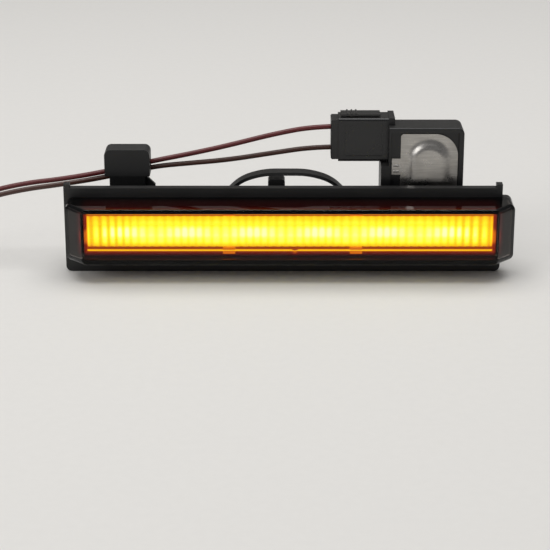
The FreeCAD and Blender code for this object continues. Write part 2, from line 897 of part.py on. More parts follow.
def bulge_section(side, y):
    """Level section of the pressed slope on one side of the bulge: two arcs that meet on a common tangent."""
    z = bulge_arch_z
    bend = (bulge_run ** 2 + bulge_rise ** 2) / (4 * bulge_rise)
    turn = math.asin(bulge_run / 2 / bend) / 2
    skins = []
    for face in (y, y + leaf_thickness):
        places = (
            (bulge_inner, face - bulge_rise),
            (bulge_inner + bend * math.sin(turn), face - bulge_rise + bend * (1 - math.cos(turn))),
            (bulge_inner + bulge_run / 2, face - bulge_rise / 2),
            (bulge_outer - bend * math.sin(turn), face - bend * (1 - math.cos(turn))),
            (bulge_outer, face),
        )
        skins.append([V(bulge_middle + side * r, d, z) for r, d in places])
    front, back = skins
    parts = [Part.Arc(*q).toShape() for q in (front[:3], front[2:], back[:3], back[2:])]
    parts.append(Part.makeLine(front[0], back[0]))
    parts.append(Part.makeLine(front[-1], back[-1]))
    return Part.Face(Part.Wire(Part.__sortEdges__(parts)))


def make_leaf():
    left, right, top = leaf_left, leaf_right, leaf_top
    big = leaf_big_radius
    small = leaf_small_radius
    y = leaf_front
    half = math.sqrt(0.5)
    edges = [
        Part.LineSegment(V(left, y, leaf_bottom), V(right, y, leaf_bottom)),
        Part.LineSegment(V(right, y, leaf_bottom), V(right, y, top - big)),
        Part.Arc(
            V(right, y, top - big), V(right - big + big * half, y, top - big + big * half), V(right - big, y, top),
        ),
        Part.LineSegment(V(right - big, y, top), V(left + small, y, top)),
        Part.Arc(
            V(left + small, y, top), V(left + small - small * half, y, top - small + small * half),
            V(left, y, top - small),
        ),
        Part.LineSegment(V(left, y, top - small), V(left, y, leaf_bottom)),
    ]
    sheet = Part.Face(Part.Wire([e.toShape() for e in edges])).extrude(V(0, leaf_thickness, 0))

    opening = bulge_arch(bulge_outer, y)
    crest = bulge_arch(bulge_inner, y - bulge_rise)
    legs = [bulge_section(side, y).extrude(V(0, 0, bulge_low - bulge_arch_z)) for side in (-1, 1)]
    arch = bulge_section(1, y).revolve(V(bulge_middle, y, bulge_arch_z), V(0, 1, 0), -180)
    foot = box(
        left + foot_border, right - foot_border,
        y, leaf_back + tower_front_wall, leaf_bottom, leaf_bottom + leaf_thickness,
    )
    side_tab = box(side_tab_left, left, y, y + leaf_thickness, side_tab_low, side_tab_high)
    middle = (side_tab_left + left) / 2
    ribs = []
    for z in side_rib_places:
        bar = Part.makeCylinder(
            side_rib_radius, side_rib_length, V(middle - side_rib_length / 2, y, z), V(1, 0, 0)
        )
        ribs.append(bar.common(box(side_tab_left, left, y - side_rib_radius, y + leaf_thickness, side_tab_low, side_tab_high)))
    return fuse(sheet.cut(opening), arch, crest, *legs, foot, side_tab, *ribs)


def make_vent():
    cap = rod(vent_place, lens_middle_z, tray_back, tray_back + vent_rise, vent_diameter)
    cap = cap.makeChamfer(vent_round, edges_on(cap, lambda p: near(p.y, tray_back + vent_rise)))
    stem = rod(vent_place, lens_middle_z, tray_back - vent_stem_length, tray_back, vent_stem_diameter)
    return fuse(cap, stem)


def make_plug():
    z = connector_middle_z
    y = connector_middle_y
    shell = box(plug_left, tower_left, y - plug_depth / 2, y + plug_depth / 2, z - plug_height / 2, z + plug_height / 2)
    long_edges = [
        e for e in shell.Edges if near(e.Vertexes[0].Point.y, e.Vertexes[1].Point.y)
        and near(e.Vertexes[0].Point.z, e.Vertexes[1].Point.z)
    ]
    shell = shell.makeFillet(plug_round, long_edges)
    mouth_left = tower_left - plug_mouth
    p = plug_play
    mouth = box(
        mouth_left, tower_left, y - header_depth / 2 - p, y + header_depth / 2 + p,
        z - header_height / 2 - p, z + header_height / 2 + p,
    )
    w = header_wall + p
    core = box(
        mouth_left, tower_left - p, y - header_depth / 2 + w, y + header_depth / 2 - w,
        z - header_height / 2 + w, z + header_height / 2 - w,
    )
    top = z + plug_height / 2
    arm = box(latch_left, latch_right, y - latch_width / 2, y + latch_width / 2,
              top + latch_gap, top + latch_gap + latch_thickness)
    root = box(latch_left, latch_left + latch_root, y - latch_width / 2, y + latch_width / 2,
               top - plug_round / 2, top + latch_gap)
    grips = [
        Part.makeCylinder(latch_gap, latch_width, V(latch_left + latch_grip_start + latch_grip_pitch * k, y - latch_width / 2,
                          top + latch_gap + latch_thickness), V(0, 1, 0))
        for k in range(latch_grip_count)
    ]
    body = fuse(shell.cut(mouth), core, arm, root, *grips)
    i = plug_panel_inset
    cuts = [
        box(plug_left + i, tower_left - i, y - plug_depth / 2, y - plug_depth / 2 + plug_panel_depth,
            z - plug_height / 2 + i, z + plug_height / 2 - i)
    ]
    for wire_z in (wire_upper_z, wire_lower_z):
        cuts.append(
            box(terminal_start, tower_left, y - terminal_width / 2 - terminal_play,
                y + terminal_width / 2 + terminal_play, wire_z - terminal_height / 2 - terminal_play,
                wire_z + terminal_height / 2 + terminal_play)
        )
        cuts.append(
            Part.makeCylinder(crimp_diameter / 2 + terminal_play, terminal_start - plug_left,
                              V(plug_left, y, wire_z), V(1, 0, 0))
        )
        cuts.append(Part.makeCylinder(seal_diameter / 2, seal_length, V(plug_left, y, wire_z), V(1, 0, 0)))
    return body.cut(cuts)


def make_plug_cap():
    z = connector_middle_z
    y = connector_middle_y
    i = plug_cap_inset
    cap = box(cap_left, plug_left, y - plug_depth / 2 + i, y + plug_depth / 2 - i,
              z - plug_height / 2 + i, z + plug_height / 2 - i)
    outer = edges_on(cap, lambda p: near(p.x, cap_left))
    cap = cap.makeChamfer(plug_cap_inset / 2, outer)
    holes = [
        Part.makeCylinder(wire_diameter / 2 + wire_bore_play, plug_cap_length, V(cap_left, y, wire_z), V(1, 0, 0))
        for wire_z in (wire_upper_z, wire_lower_z)
    ]
    return cap.cut(holes)


def make_seals():
    pieces = []
    for wire_z in (wire_upper_z, wire_lower_z):
        a = V(plug_left, connector_middle_y, wire_z)
        bore = wire_diameter / 2
        outside = seal_diameter / 2
        profile = [(0, bore), (0, outside)]
        profile += [(seal_length, outside), (seal_length, bore)]
        points = [a + V(x, 0, r) for x, r in profile]
        face = Part.Face(Part.makePolygon(points + [points[0]]))
        pieces.append(face.revolve(a, V(1, 0, 0), 360))
    return Part.makeCompound(pieces)


def make_terminals():
    pieces = []
    y = connector_middle_y
    for wire_z in (wire_upper_z, wire_lower_z):
        body = box(terminal_start, terminal_end, y - terminal_width / 2, y + terminal_width / 2,
                   wire_z - terminal_height / 2, wire_z + terminal_height / 2)
        slot = box(blade_tip, terminal_end, y - blade_width / 2, y + blade_width / 2,
                   wire_z - blade_thickness / 2, wire_z + blade_thickness / 2)
        crimp = Part.makeCylinder(crimp_diameter / 2, terminal_start - crimp_start, V(crimp_start, y, wire_z), V(1, 0, 0))
        pieces.append(fuse(body.cut(slot), crimp))
    return Part.makeCompound(pieces)


def make_wire_ends():
    pieces = []
    for points in (upper_points, lower_points):
        end = V(*points[-1])
        run = end - V(*points[-2])
        run.normalize()
        pieces.append(Part.makeCylinder(strand_diameter / 2, strand_length, end, run))
    return Part.makeCompound(pieces)


blades = make_blades()
leaf = make_leaf()
nodes = {
    "lens": make_lens(),
    "housing": make_housing(blades, leaf),
    "bezel": make_bezel(),
    "optic": make_optic(),
    "light_tray": make_light_tray(),
    "circuit_board": make_board(),
    "light_sources": make_leds(),
    "resistors": make_resistors(),
    "diode": make_diode(),
    "connector_blades": blades,
    "board_screws": make_screws(),
    "gasket": make_gasket(),
    "spring_leaf": leaf,
    "vent_cap": make_vent(),
    "plug": make_plug(),
    "plug_cap": make_plug_cap(),
    "wire_seals": make_seals(),
    "plug_terminals": make_terminals(),
    "upper_wire": tube(upper_points, wire_diameter, "upper wire"),
    "lower_wire": tube(lower_points, wire_diameter, "lower wire"),
    "cable_clip": make_clip(),
    "wire_ends": make_wire_ends(),
}

os.makedirs("parts", exist_ok=True)
for name, shape in nodes.items():
    shape.translate(origin_shift)
    shape.exportStep("parts/" + name + ".step")
    print(name, "solids", len(shape.Solids), "valid", shape.isValid(), "volume", round(shape.Volume, 1))
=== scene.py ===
# %% [markdown]
# # A marker lamp with a smoked lens
# This lesson dresses a small marker lamp that was drawn in a CAD program. The solids arrive at their real size and
# place, so nothing here is moved. We set the camera first, then lay the two wires, give every piece the finish that
# the real one has, and last set the floor and the light.

# %% Load the solids
import bpy
import math
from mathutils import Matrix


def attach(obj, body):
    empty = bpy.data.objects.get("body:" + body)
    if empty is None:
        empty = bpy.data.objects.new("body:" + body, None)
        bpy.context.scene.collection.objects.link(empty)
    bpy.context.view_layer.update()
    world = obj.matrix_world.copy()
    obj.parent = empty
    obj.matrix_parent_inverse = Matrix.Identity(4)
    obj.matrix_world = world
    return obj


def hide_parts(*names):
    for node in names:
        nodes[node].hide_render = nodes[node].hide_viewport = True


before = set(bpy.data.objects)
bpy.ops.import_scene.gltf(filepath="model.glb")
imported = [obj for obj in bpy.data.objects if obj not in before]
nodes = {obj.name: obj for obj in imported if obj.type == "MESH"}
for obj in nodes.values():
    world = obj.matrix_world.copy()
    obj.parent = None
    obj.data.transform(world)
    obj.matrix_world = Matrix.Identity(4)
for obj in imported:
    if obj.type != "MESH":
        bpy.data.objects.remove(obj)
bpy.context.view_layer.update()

# %% [markdown]
# ## Camera
# The lamp was seen from a little above, square on, with a long lens. A long focal length keeps the lens cover's
# edges parallel, which a close wide lens would not do.

# %% Camera
CAMERA_PLACE = (-0.004435, -0.58503, 0.21002)
CAMERA_TILT = 70
FOCAL_LENGTH = 119.4

bpy.ops.object.select_all(action="DESELECT")
bpy.ops.object.camera_add(location=CAMERA_PLACE, rotation=(math.radians(CAMERA_TILT), 0, 0))
camera = bpy.context.object
camera.name = "camera"
camera.data.sensor_width = 36.0
camera.data.lens = FOCAL_LENGTH
camera.data.dof.use_dof = False
bpy.context.scene.camera = camera
print("camera", tuple(round(c, 3) for c in camera.location), "lens", round(camera.data.lens, 1), "mm")

# %% [markdown]
# ## The two wires
# The wires leave the plug one above the other, sag to the cable clip, run on together past the lamp's end and come
# down on the table. The points are the route that the solid wires follow, in millimetres from the middle of the lens
# face. A small function turns them to metres in the lamp's own frame.

# %% Wire routes
SHIFT_X = 0.0005
SHIFT_Y = -0.01705

upper_route = [
    (20.0, 29.0, 46.3), (8.5, 29.0, 46.3), (-6.0, 29.1, 43.4), (-21.0, 29.3, 39.4), (-34.0, 29.3, 36.5),
    (-46.5, 29.2, 34.05), (-63.4, 29.2, 30.1), (-77.5, 29.3, 27.6), (-90.0, 29.4, 26.1), (-102.0, 29.4, 23.4),
    (-114.0, 29.3, 18.9), (-126.0, 29.1, 12.7), (-138.0, 28.9, 6.6), (-147.5, 28.8, 2.7), (-156.0, 28.7, 0.95),
    (-163.0, 28.7, 0.95),
]
lower_route = [
    (20.0, 29.0, 39.1), (8.5, 29.0, 39.1), (-6.0, 28.9, 36.9), (-21.0, 28.9, 34.5), (-34.0, 29.1, 33.3),
    (-46.5, 29.2, 32.1), (-63.4, 29.2, 28.15), (-77.5, 27.6, 26.2), (-90.0, 27.0, 24.7), (-102.0, 26.6, 22.1),
    (-114.0, 26.2, 17.6), (-126.0, 25.8, 11.5), (-138.0, 25.4, 6.0), (-147.5, 25.0, 2.5), (-156.0, 24.8, 0.95),
    (-163.0, 24.7, 0.95),
]


def in_metres(point):
    x, y, z = point
    return (x / 1000 + SHIFT_X, y / 1000 + SHIFT_Y, z / 1000)


for route in (upper_route, lower_route):
    print("wire ends at", [round(c, 4) for c in in_metres(route[-1])])

# %% [markdown]
# A wire could be a swept mesh, but a NURBS spline with a round bevel bends the way a real wire does, with no corners.
# Each point carries the wire's half thickness as its radius, so the bevel's own depth is simply one.

# %% Lay the wires
WIRE_DIAMETER = 0.0017


def lay_wire(name, route):
    line = bpy.data.curves.new(name, "CURVE")
    line.dimensions = "3D"
    spline = line.splines.new("NURBS")
    spline.points.add(len(route) - 1)
    for place, point in zip(spline.points, route):
        place.co = (*in_metres(point), 1.0)
        place.radius = WIRE_DIAMETER / 2
    spline.order_u = 3
    spline.use_endpoint_u = True
    spline.resolution_u = 8
    line.bevel_depth = 1.0
    line.bevel_resolution = 5
    line.use_fill_caps = True
    wire = bpy.data.objects.new(name, line)
    bpy.context.collection.objects.link(wire)
    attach(wire, "root")
    print(name, "laid through", len(route), "points")
    return wire


red_wire = lay_wire("red_wire", upper_route)
brown_wire = lay_wire("brown_wire", lower_route)
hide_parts("upper_wire")
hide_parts("lower_wire")

# %% [markdown]
# ## Bare copper ends
# The far ends are stripped, and the copper inside is seven thin strands with a twist. One strand is a thin cylinder.
# A plain cylinder has no rings along its length and could not bend, so we cut it into short lengths first.

# %% One strand
STRAND_DIAMETER = 0.00030
STRAND_LENGTH = 0.0080
SHORT_LENGTHS = 12


def one_strand():
    bpy.ops.object.select_all(action="DESELECT")
    bpy.ops.mesh.primitive_cylinder_add(vertices=8, radius=STRAND_DIAMETER / 2, depth=STRAND_LENGTH, location=(0, 0, 0))
    bpy.ops.object.mode_set(mode="EDIT")
    for step in range(1, SHORT_LENGTHS):
        cut_z = STRAND_LENGTH * (step / SHORT_LENGTHS - 0.5)
        bpy.ops.mesh.select_all(action="SELECT")
        bpy.ops.mesh.bisect(plane_co=(0, 0, cut_z), plane_no=(0, 0, 1), use_fill=False)
    bpy.ops.object.mode_set(mode="OBJECT")
    return bpy.context.object


print("strand thickness in mm:", round(1000 * STRAND_DIAMETER, 2))

# %% [markdown]
# Six copies stand round the middle strand, each touching it. The seven are joined, a Twist modifier winds them, and the
# bundle is laid down at the wire's end with its place in the mesh.

# %% Twisted ends
STRANDS_ROUND = 6
LAY_ANGLE = 240


def strip_end(name, end):
    middle = one_strand()
    strands = [middle]
    for i in range(STRANDS_ROUND):
        turn = 2 * math.pi * i / STRANDS_ROUND
        bpy.ops.object.select_all(action="DESELECT")
        middle.select_set(True)
        bpy.context.view_layer.objects.active = middle
        bpy.ops.object.duplicate(linked=False)
        bpy.context.object.location = (STRAND_DIAMETER * math.cos(turn), STRAND_DIAMETER * math.sin(turn), 0.0)
        strands.append(bpy.context.object)
    for strand in strands:
        strand.select_set(True)
    bpy.context.view_layer.objects.active = middle
    bpy.ops.object.join()
    bundle = bpy.context.object
    bundle.name = name
    twist = bundle.modifiers.new("lay of the strands", "SIMPLE_DEFORM")
    twist.deform_method = "TWIST"
    twist.deform_axis = "Z"
    twist.angle = math.radians(LAY_ANGLE)
    bpy.ops.object.modifier_apply(modifier=twist.name)
    bundle.rotation_euler = (0, math.radians(90), 0)
    x, y, z = in_metres(end)
    bundle.location = (x - STRAND_LENGTH / 2, y, z)
    bpy.ops.object.transform_apply(location=True, rotation=True, scale=True)
    bpy.ops.object.shade_smooth_by_angle(angle=math.radians(50))
    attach(bundle, "root")
    print(name, "faces:", len(bundle.data.polygons))
    return bundle


upper_strands = strip_end("upper_strands", upper_route[-1])
lower_strands = strip_end("lower_strands", lower_route[-1])
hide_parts("wire_ends")

# %% [markdown]
# The names and thickness of the two wires are printed.

print("cords:", red_wire.name, "and", brown_wire.name, "each", round(1000 * WIRE_DIAMETER, 1), "mm thick")

# %% [markdown]
# ## Tools for finishes
# Colours are written as the eye reads them, in hex, and turned to the linear values that light adds up in. Pattern
# sizes are real millimetres: a texture of scale 1 has features about a metre wide here, so a feature of so many
# millimetres needs 1000 divided by that.

# %% Colours and sizes
def colour(hex_text):
    channels = [int(hex_text[i:i + 2], 16) / 255 for i in (1, 3, 5)]
    linear = [c / 12.92 if c <= 0.04045 else ((c + 0.055) / 1.055) ** 2.4 for c in channels]
    return (*linear, 1.0)


def per_metre(size_mm):
    return 1000.0 / size_mm


print("mid grey is", round(colour("#808080")[0], 3), "in linear light")

# %% [markdown]
# One small function adds a shader node with its settings, values and links, and another puts a finish on the pieces
# that wear it. Some sockets share a name with another one on the same node, so those are reached by their number: the
# four limits of a Map Range node, and the two colours, the two plain numbers and the mixed colour of a Mix node.

# %% Nodes and finishes
FROM_LOW, FROM_HIGH, TO_LOW, TO_HIGH = 1, 2, 3, 4
FIRST_NUMBER, SECOND_NUMBER = 2, 3
FIRST_TONE, SECOND_TONE, MIXED_TONE = 6, 7, 2


def new_finish(name):
    finish = bpy.data.materials.new(name)
    finish.use_nodes = True
    finish.node_tree.nodes.clear()
    return finish


def add_node(finish, kind, settings={}, values={}, links={}):
    made = finish.node_tree.nodes.new(kind)
    for name, value in settings.items():
        setattr(made, name, value)
    for socket, value in values.items():
        made.inputs[socket].default_value = value
    for socket, source in links.items():
        finish.node_tree.links.new(source, made.inputs[socket])
    return made


def wear(finish, *names):
    for name in names:
        piece = nodes[name] if name in nodes else bpy.data.objects[name]
        piece.data.materials.clear()
        piece.data.materials.append(finish)
    print(finish.name, "on", ", ".join(names))


# %% [markdown]
# ## Moulded plastics
# Black glass-filled nylon and ABS come out of a spark-eroded mould, so their skin has a fine grain that breaks up
# the light, clouds of slightly different gloss, and a little dust on whatever faces up. A real spark grain is about a
# tenth of a millimetre and too fine to show, so it is drawn a few times as coarse. One function makes all of these
# finishes, from two tones, a grain size and a gloss.

# %% Moulded skin
CLOUD_MM = 14.0
DUST = "#8A867E"


def moulded_plastic(name, dark, light, grain_mm, rough_low, rough_high, relief_mm, dust_share=0.05):
    finish = new_finish(name)
    place = add_node(finish, "ShaderNodeTexCoord")
    cloud = add_node(
        finish, "ShaderNodeTexNoise", values={"Scale": per_metre(CLOUD_MM), "Detail": 4.0},
        links={"Vector": place.outputs["Object"]},
    )
    grain = add_node(
        finish, "ShaderNodeTexNoise", values={"Scale": per_metre(grain_mm), "Detail": 2.0},
        links={"Vector": place.outputs["Object"]},
    )
    tone = add_node(
        finish, "ShaderNodeMix", {"data_type": "RGBA"}, {FIRST_TONE: colour(dark), SECOND_TONE: colour(light)},
        {0: cloud.outputs["Fac"]},
    )
    skin = add_node(finish, "ShaderNodeSeparateXYZ", links={0: place.outputs["Normal"]})
    up = add_node(
        finish, "ShaderNodeMapRange", values={FROM_LOW: 0.55, FROM_HIGH: 1.0, TO_LOW: 0.0, TO_HIGH: dust_share},
        links={0: skin.outputs["Z"]},
    )
    settle = add_node(
        finish, "ShaderNodeMath", {"operation": "MULTIPLY"}, links={0: up.outputs[0], 1: cloud.outputs["Fac"]},
    )
    dusted = add_node(
        finish, "ShaderNodeMix", {"data_type": "RGBA"}, {SECOND_TONE: colour(DUST)},
        {0: settle.outputs[0], FIRST_TONE: tone.outputs[MIXED_TONE]},
    )
    gloss = add_node(
        finish, "ShaderNodeMapRange", values={FROM_LOW: 0.3, FROM_HIGH: 0.7, TO_LOW: rough_low, TO_HIGH: rough_high},
        links={0: cloud.outputs["Fac"]},
    )
    relief = add_node(
        finish, "ShaderNodeBump", values={"Strength": 0.6, "Distance": relief_mm / 1000},
        links={"Height": grain.outputs["Fac"]},
    )
    surface = add_node(
        finish, "ShaderNodeBsdfPrincipled", values={"IOR": 1.5},
        links={
            "Base Color": dusted.outputs[MIXED_TONE], "Roughness": gloss.outputs[0],
            "Normal": relief.outputs["Normal"],
        },
    )
    add_node(finish, "ShaderNodeOutputMaterial", links={"Surface": surface.outputs[0]})
    return finish


# %% [markdown]
# Each plastic piece then gets its own tones, grain and gloss. The bezel's finish keeps a name, because light from the
# lit bar will be painted on it later as emission.

# %% Moulded plastics
# Glass-filled nylon: near black, satin, with a visible fine grain.
wear(moulded_plastic("glass_filled_nylon", "#0D0D0E", "#191919", 0.5, 0.34, 0.50, 0.030), "housing")
# Polished ABS: the bezel is darker and far glossier, so that it mirrors the lit bar beside it; its red rim and glints
# are painted on later.
polished_and_painted_glow = moulded_plastic("polished_abs_painted_glow", "#070707", "#0E0D0C", 1.2, 0.08, 0.16, 0.004, dust_share=0.0)
wear(polished_and_painted_glow, "bezel")
# Polyester of the plug: smoother than the housing, so the top edge shines.
wear(moulded_plastic("connector_polyester", "#0C0C0D", "#161617", 0.7, 0.22, 0.34, 0.012), "plug", "plug_cap")
# Nylon of the cable clip: a drier, slightly greyer black.
wear(moulded_plastic("dry_nylon", "#101011", "#1D1D1D", 0.6, 0.40, 0.56, 0.025), "cable_clip")
# Vent cap: soft moulded cap with a dull skin.
wear(moulded_plastic("vent_elastomer", "#2A2B2D", "#37383A", 0.4, 0.60, 0.75, 0.020), "vent_cap")
# White reflector plastic of the light tray.
wear(moulded_plastic("reflector_white", "#E4E2DC", "#F1F0EC", 0.6, 0.40, 0.55, 0.010, dust_share=0.0), "light_tray")
# Silicone of the wire seals.
wear(moulded_plastic("seal_silicone", "#8E3A1C", "#A4472A", 0.8, 0.45, 0.60, 0.010, dust_share=0.0), "wire_seals")

# %% [markdown]
# ## Smoked lens
# The cover is acrylic with a smoke dye. The mould is polished, so it is clear and glossy, and all that shows are a
# faint flow waviness and very fine handling marks. Real transmission with the index of acrylic gives the bright edge
# reflections and lets the bar shine through the dye. A grey specular tint keeps the reflections on the dark ends low.

# %% Smoked lens
FLOW_MM = 22.0
MARKS_MM = 1.5

smoke = new_finish("smoked_acrylic")
place = add_node(smoke, "ShaderNodeTexCoord")
flow = add_node(
    smoke, "ShaderNodeTexNoise", values={"Scale": per_metre(FLOW_MM), "Detail": 1.0},
    links={"Vector": place.outputs["Object"]},
)
marks = add_node(
    smoke, "ShaderNodeTexNoise", values={"Scale": per_metre(MARKS_MM), "Detail": 6.0},
    links={"Vector": place.outputs["Object"]},
)
haze = add_node(
    smoke, "ShaderNodeMapRange", values={FROM_LOW: 0.45, FROM_HIGH: 0.75, TO_LOW: 0.012, TO_HIGH: 0.05},
    links={0: marks.outputs["Fac"]},
)
dye = add_node(
    smoke, "ShaderNodeMix", {"data_type": "RGBA"}, {FIRST_TONE: colour("#8A827E"), SECOND_TONE: colour("#8E8682")},
    {0: flow.outputs["Fac"]},
)
waviness = add_node(
    smoke, "ShaderNodeBump", values={"Strength": 0.25, "Distance": 0.0002}, links={"Height": flow.outputs["Fac"]},
)
acrylic = add_node(
    smoke, "ShaderNodeBsdfPrincipled",
    values={"IOR": 1.49, "Transmission Weight": 1.0, "Specular Tint": colour("#949494")},
    links={
        "Base Color": dye.outputs[MIXED_TONE], "Roughness": haze.outputs[0], "Normal": waviness.outputs["Normal"],
    },
)
add_node(smoke, "ShaderNodeOutputMaterial", links={"Surface": acrylic.outputs[0]})
wear(smoke, "lens")

# %% [markdown]
# ## Lit bar
# Behind the cover is a fluted light bar with six light sources behind it. Each one makes a hot patch, the flutes
# show as dark lines between bright strips, and the light falls off to the ends and edges. Lamps behind a real
# diffuser would take very long to render, so the surface itself emits, and its strength follows the real places of
# the sources and flutes. All of it is worked out from two measures: how far a point is from the bar's middle along
# its length, and how high it is.

# %% Measures on the bar
BAR_LENGTH = 0.1346
BAR_MIDDLE_Z = 0.01665
BAR_HALF_HEIGHT = 0.0053

amber = new_finish("amber_light_bar")
place = add_node(amber, "ShaderNodeTexCoord")
where = add_node(amber, "ShaderNodeSeparateXYZ", links={0: place.outputs["Object"]})
from_middle = add_node(amber, "ShaderNodeMath", {"operation": "SUBTRACT"}, {1: SHIFT_X}, {0: where.outputs["X"]})
reach = add_node(amber, "ShaderNodeMath", {"operation": "ABSOLUTE"}, links={0: from_middle.outputs[0]})
height = add_node(amber, "ShaderNodeMath", {"operation": "SUBTRACT"}, {1: BAR_MIDDLE_Z}, {0: where.outputs["Z"]})
off_middle = add_node(amber, "ShaderNodeMath", {"operation": "ABSOLUTE"}, links={0: height.outputs[0]})
print("bar in mm:", round(1000 * BAR_LENGTH, 1), "by", round(2000 * BAR_HALF_HEIGHT, 1))

# %% [markdown]
# First come the six hot patches: a cosine along the bar with its crests at the light sources. They show most along
# the middle of the bar and fade out towards its long edges.

# %% Hot patches
PITCH = 0.0218
ROW_MIDDLE = SHIFT_X - 0.0011
SOURCE_X = ROW_MIDDLE + PITCH / 2
PATCH_BASE = 0.985

along = add_node(
    amber, "ShaderNodeMath", {"operation": "MULTIPLY_ADD"},
    {1: 2 * math.pi / PITCH, 2: -2 * math.pi * SOURCE_X / PITCH}, {0: where.outputs["X"]},
)
crests = add_node(amber, "ShaderNodeMath", {"operation": "COSINE"}, links={0: along.outputs[0]})
patch_share = add_node(
    amber, "ShaderNodeMapRange", {"interpolation_type": "SMOOTHSTEP"},
    {FROM_LOW: 0.0005, FROM_HIGH: 0.0035, TO_LOW: 0.032, TO_HIGH: -0.01}, {0: off_middle.outputs[0]},
)
patches = add_node(
    amber, "ShaderNodeMath", {"operation": "MULTIPLY_ADD"}, {2: PATCH_BASE},
    {0: crests.outputs[0], 1: patch_share.outputs[0]},
)
print("light sources every", round(1000 * PITCH, 1), "mm")

# %% [markdown]
# Next the flutes. Each one is a small lens that throws the light of its crest aside, so a soft dark line stands on
# every crest. Close to a source the lines crowd together a little, and at the ends, far from the last source, they are
# at their strongest.

# %% Flute lines
FLUTE = BAR_LENGTH / 50
BAR_LEFT = SHIFT_X - BAR_LENGTH / 2
CROWDING = 0.5
LINE_SHARPNESS = 4.0

strip = add_node(
    amber, "ShaderNodeMath", {"operation": "MULTIPLY_ADD"},
    {1: math.pi / FLUTE, 2: -math.pi * BAR_LEFT / FLUTE}, {0: where.outputs["X"]},
)
sway = add_node(amber, "ShaderNodeMath", {"operation": "SINE"}, links={0: along.outputs[0]})
crowded = add_node(
    amber, "ShaderNodeMath", {"operation": "MULTIPLY_ADD"}, {1: CROWDING},
    {0: sway.outputs[0], 2: strip.outputs[0]},
)
wave = add_node(amber, "ShaderNodeMath", {"operation": "SINE"}, links={0: crowded.outputs[0]})
crest = add_node(amber, "ShaderNodeMath", {"operation": "ABSOLUTE"}, links={0: wave.outputs[0]})
line = add_node(amber, "ShaderNodeMath", {"operation": "POWER"}, {1: LINE_SHARPNESS}, {0: crest.outputs[0]})
line_depth = add_node(
    amber, "ShaderNodeMapRange", {"interpolation_type": "SMOOTHSTEP"},
    {FROM_LOW: 0.048, FROM_HIGH: 0.063, TO_LOW: 0.945, TO_HIGH: 0.78}, {0: reach.outputs[0]},
)
flutes = add_node(
    amber, "ShaderNodeMapRange", values={FROM_LOW: 0.0, FROM_HIGH: 1.0, TO_LOW: 1.0},
    links={0: line.outputs[0], TO_HIGH: line_depth.outputs[0]},
)
print("flutes every", round(1000 * FLUTE, 3), "mm, from", round(1000 * BAR_LEFT, 2), "mm")

# %% [markdown]
# The light falls off towards the two ends, and the very tips are only orange. Two Map Range nodes do that, a slow one
# and a quick one.

# %% Ends of the bar
BAR_END = BAR_LENGTH / 2
FADE_LENGTH = 0.0068
TIP_LENGTH = 0.0004

ends = add_node(
    amber, "ShaderNodeMapRange", {"interpolation_type": "SMOOTHSTEP"},
    {FROM_LOW: BAR_END - FADE_LENGTH, FROM_HIGH: BAR_END, TO_LOW: 1.0, TO_HIGH: 0.93}, {0: reach.outputs[0]},
)
tips = add_node(
    amber, "ShaderNodeMapRange", {"interpolation_type": "SMOOTHSTEP"},
    {FROM_LOW: BAR_END - TIP_LENGTH, FROM_HIGH: BAR_END + 0.0001, TO_LOW: 1.0, TO_HIGH: 0.66},
    {0: reach.outputs[0]},
)
print("bar fades over its last", round(1000 * FADE_LENGTH, 1), "mm")

# %% [markdown]
# Across the bar it is brightest a little below the middle. It falls off slowly towards the upper edge, with one fine
# groove that is a shade darker, and quickly at the lower edge. A colour ramp of greys, laid across the bar from its
# lower edge, draws that falloff. The product of all these shares is the bar's glow.

# %% Falloff across the bar
def fill_ramp(ramp, stops):
    elements = ramp.color_ramp.elements
    while len(elements) < len(stops):
        elements.new(0.5)
    for element, (position, tint) in zip(elements, stops):
        element.position = position
        element.color = tint


across = add_node(
    amber, "ShaderNodeMapRange", values={FROM_LOW: -BAR_HALF_HEIGHT, FROM_HIGH: BAR_HALF_HEIGHT},
    links={0: height.outputs[0]},
)
falloff = add_node(amber, "ShaderNodeValToRGB", links={0: across.outputs[0]})
levels = [
    (0.0, 0.66), (0.08, 0.83), (0.15, 0.92), (0.25, 0.94), (0.37, 1.0), (0.57, 0.985), (0.64, 0.94), (0.71, 0.88),
    (0.80, 0.90), (0.88, 0.82), (1.0, 0.75),
]
fill_ramp(falloff, [(position, (level, level, level, 1.0)) for position, level in levels])
bar_glow = patches
for share in (flutes, ends, tips, falloff):
    bar_glow = add_node(
        amber, "ShaderNodeMath", {"operation": "MULTIPLY"}, links={0: bar_glow.outputs[0], 1: share.outputs[0]},
    )
print("levels across the bar:", len(levels))

# %% [markdown]
# Near the middle of the bezel's lower lip is a small V nick, where the light reaches further down. Both the rail and
# the lip need to know how deep in the nick a point is, so one function gives that share to either finish: 1 at the
# nick's middle, 0 at its sides and above the lens's middle.

# %% Nick in the lip
LENS_MIDDLE_Z = 0.01615
NICK_X = SHIFT_X + 0.0017
NICK_HALF_WIDTH = 0.0010


def in_nick(finish, where):
    from_nick = add_node(finish, "ShaderNodeMath", {"operation": "SUBTRACT"}, {1: NICK_X}, {0: where.outputs["X"]})
    off_nick = add_node(finish, "ShaderNodeMath", {"operation": "ABSOLUTE"}, links={0: from_nick.outputs[0]})
    share = add_node(
        finish, "ShaderNodeMapRange", values={FROM_LOW: 0.0, FROM_HIGH: NICK_HALF_WIDTH, TO_LOW: 1.0, TO_HIGH: 0.0},
        links={0: off_nick.outputs[0]},
    )
    low = add_node(finish, "ShaderNodeMath", {"operation": "LESS_THAN"}, {1: LENS_MIDDLE_Z}, {0: where.outputs["Z"]})
    return add_node(
        finish, "ShaderNodeMath", {"operation": "MULTIPLY"}, links={0: share.outputs[0], 1: low.outputs[0]},
    )


print("nick at", round(1000 * NICK_X, 1), "mm,", round(2000 * NICK_HALF_WIDTH, 1), "mm wide")

